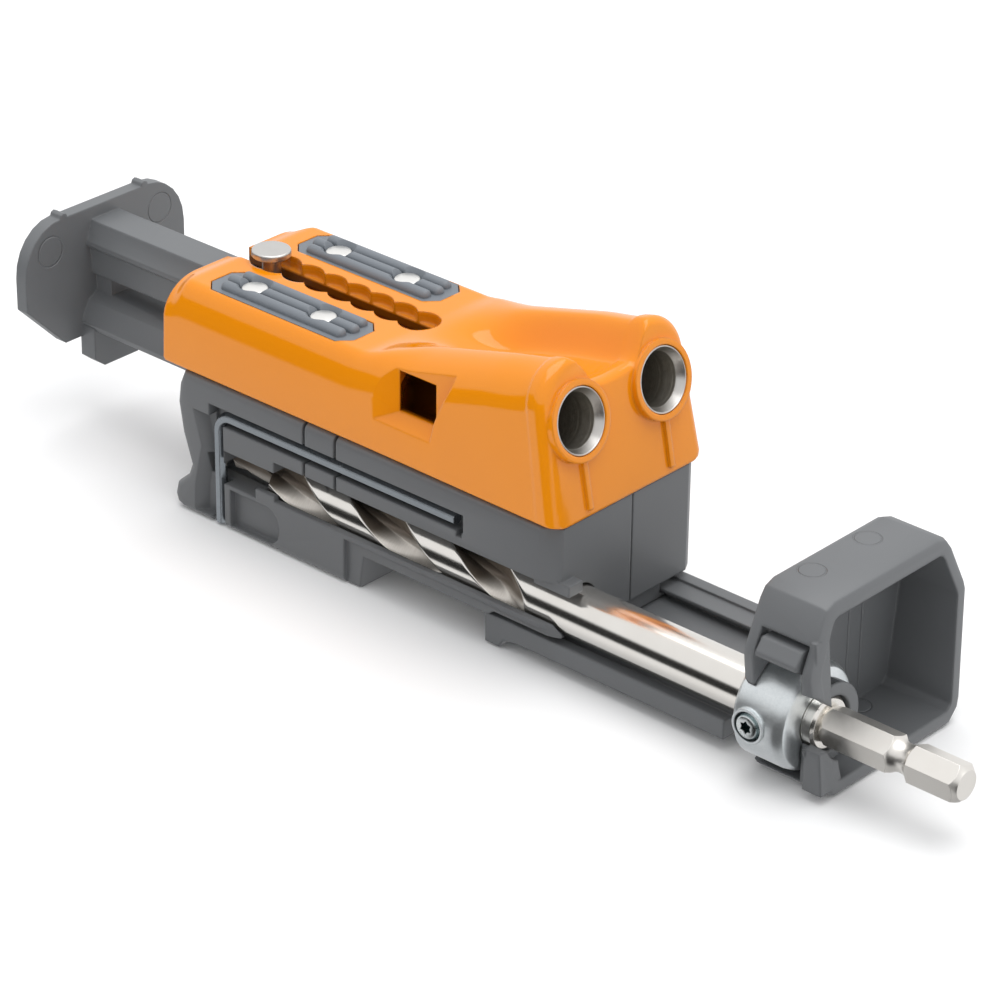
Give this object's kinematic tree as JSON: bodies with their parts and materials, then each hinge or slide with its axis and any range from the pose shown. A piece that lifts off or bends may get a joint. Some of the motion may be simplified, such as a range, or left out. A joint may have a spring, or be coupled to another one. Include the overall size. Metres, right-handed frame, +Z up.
{
  "type": "pocket hole jig",
  "caption": "Drill guide for slanted pocket holes: cast body with steel bushes and sliding stop, seated on a holder for its step drill, collar, gauge and key.",
  "frame": {"origin": "on the floor, below the middle of the part's bounding box", "axes": "+X from the stop plate to the drill's hex shank, -Y the side with the drill, +Z up"},
  "size_m": [0.216, 0.0448, 0.0563],
  "materials": {
    "orange_paint": "gloss",
    "grey_plastic": "satin",
    "grey_rubber": "matte",
    "turned_steel": "satin",
    "dark_steel": "satin",
    "bright_steel": "polished",
    "nickel_plate": "plated",
    "zinc_plate": "plated"
  },
  "bodies": {
    "holder": {"bit_holder_near": "grey_plastic", "bit_holder_far": "grey_plastic", "holder_screw_rear": "dark_steel", "holder_screw_front": "dark_steel"},
    "jig": {"jig_body": "orange_paint", "drill_bush_near": "turned_steel", "drill_bush_far": "turned_steel", "grip_pad_near": "grey_rubber", "grip_pad_far": "grey_rubber", "magnet_near_rear": "nickel_plate", "magnet_near_front": "nickel_plate", "magnet_far_rear": "nickel_plate", "magnet_far_front": "nickel_plate"},
    "stop": {"stop_slide": "grey_plastic"},
    "lock": {"lock_pin": "turned_steel", "lock_clip": "dark_steel", "lock_spring": "dark_steel"},
    "gauge": {"gauge_slide": "grey_plastic", "stop_collar": "zinc_plate"},
    "grub": {"grub_screw": "zinc_plate"},
    "drill": {"drill_bit": "bright_steel"},
    "key": {"hex_key": "zinc_plate"}
  },
  "joints": [
    {"name": "jig_lift", "type": "slide", "parent": "holder", "child": "jig", "axis": [0, 0, 1], "range_m": [0, 0.02]},
    {"name": "stop_slide_in", "type": "slide", "parent": "jig", "child": "stop", "axis": [1, 0, 0], "range_m": [0, 0.0336]},
    {"name": "lock_drop", "type": "slide", "parent": "stop", "child": "lock", "axis": [0, 0, 1], "range_m": [-0.0024, 0], "deforming": ["lock_spring"]},
    {"name": "gauge_slide_in", "type": "slide", "parent": "holder", "child": "gauge", "axis": [1, 0, 0], "range_m": [-0.022, 0]},
    {"name": "grub_turn", "type": "hinge", "parent": "gauge", "child": "grub", "pos_m": [0.0711, -0.01992, 0.0113], "axis": [0, -1, 0], "range_deg": [0, 180]},
    {"name": "drill_turn", "type": "hinge", "parent": "holder", "child": "drill", "pos_m": [0.0308, -0.01192, 0.0113], "axis": [1, 0, 0], "continuous": true},
    {"name": "key_pull", "type": "slide", "parent": "holder", "child": "key", "axis": [0, -1, 0], "range_m": [0, 0.02]}
  ]
}
